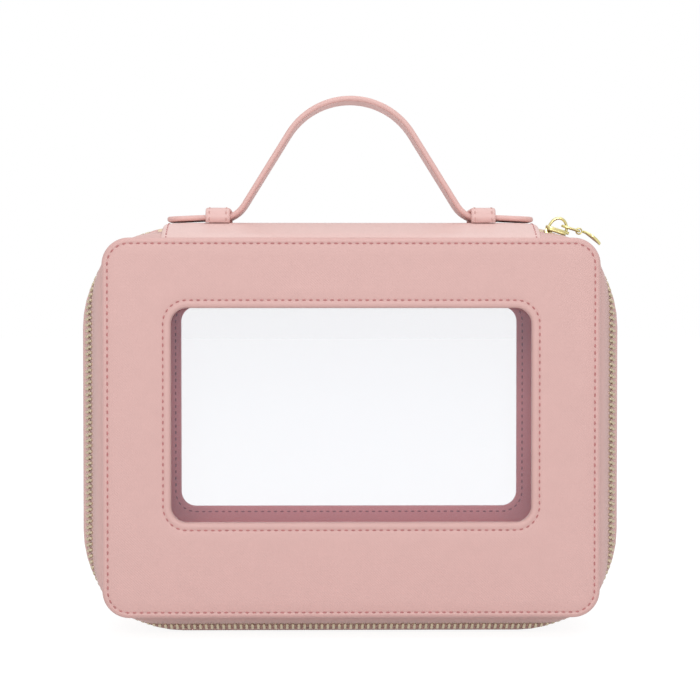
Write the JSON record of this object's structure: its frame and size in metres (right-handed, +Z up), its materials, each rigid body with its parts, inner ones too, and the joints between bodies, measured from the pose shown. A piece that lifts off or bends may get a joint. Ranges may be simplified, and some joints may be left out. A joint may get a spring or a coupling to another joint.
{
  "type": "makeup train case",
  "caption": "Zip-round leather makeup case with clear windows front and back, bulging sides and a strap handle running through keepers on top.",
  "frame": {"origin": "on the ground under the middle of the case", "axes": "+Z up, +X to the right seen from the front, the front faces -Y"},
  "size_m": [0.2416, 0.08, 0.2417],
  "materials": {
    "leather": "cross-grained, satin",
    "board": "matte",
    "clear_sheet": "clear",
    "lining": "matte",
    "tape": "woven",
    "zip_metal": "pale gold"
  },
  "bodies": {
    "case": {"rear_panel_skin": "leather", "rear_panel_board": "board", "rear_window": "clear_sheet", "rear_lining": "lining", "body_gusset": "leather", "body_gusset_lining": "lining", "top_board": "board", "top_panel": "leather", "body_zip_tape": "tape", "body_zip_teeth": "zip_metal", "zip_stops": "zip_metal", "keeper_left": "leather", "keeper_right": "leather"},
    "lid": {"front_panel_skin": "leather", "front_panel_board": "board", "front_window": "clear_sheet", "front_lining": "lining", "lid_gusset": "leather", "lid_zip_tape": "tape", "lid_zip_teeth": "zip_metal", "top_fold_flap": "leather"},
    "handle": {"handle_arch": "leather"},
    "strap_left": {"strap_end_left": "leather"},
    "strap_right": {"strap_end_right": "leather"},
    "slider": {"slider_body": "zip_metal"},
    "link": {"pull_link": "zip_metal"},
    "tab": {"pull_tab": "zip_metal"}
  },
  "joints": [
    {"name": "lid_hinge", "type": "hinge", "parent": "case", "child": "lid", "pos_m": [0, -0.0214, 0.18267], "axis": [-1, 0, 0], "range_deg": [0, 95]},
    {"name": "handle_drop", "type": "slide", "parent": "case", "child": "handle", "axis": [0, 0, -1], "range_m": [0, 0.0333], "deforming": ["handle_arch"]},
    {"name": "strap_left_run", "type": "slide", "parent": "case", "child": "strap_left", "axis": [-1, 0, 0], "range_m": [0, 0.021]},
    {"name": "strap_right_run", "type": "slide", "parent": "case", "child": "strap_right", "axis": [1, 0, 0], "range_m": [0, 0.021]},
    {"name": "slider_travel", "type": "hinge", "parent": "case", "child": "slider", "pos_m": [0.08071, -0.0214, 0.14418], "axis": [0, 1, 0], "range_deg": [0, 12]},
    {"name": "link_swing", "type": "hinge", "parent": "slider", "child": "link", "pos_m": [0.09476, -0.0216, 0.18282], "axis": [0.0154, 0.9987, 0.048], "range_deg": [-110, 0]},
    {"name": "tab_swing", "type": "hinge", "parent": "link", "child": "tab", "pos_m": [0.10219, -0.0216, 0.18044], "axis": [0.0154, 0.9987, 0.048], "range_deg": [-80, 0]}
  ],
  "couplings": [
    {"joint": "strap_left_run", "follows": "handle_drop", "ratio": 0.629},
    {"joint": "strap_right_run", "follows": "handle_drop", "ratio": 0.629}
  ]
}
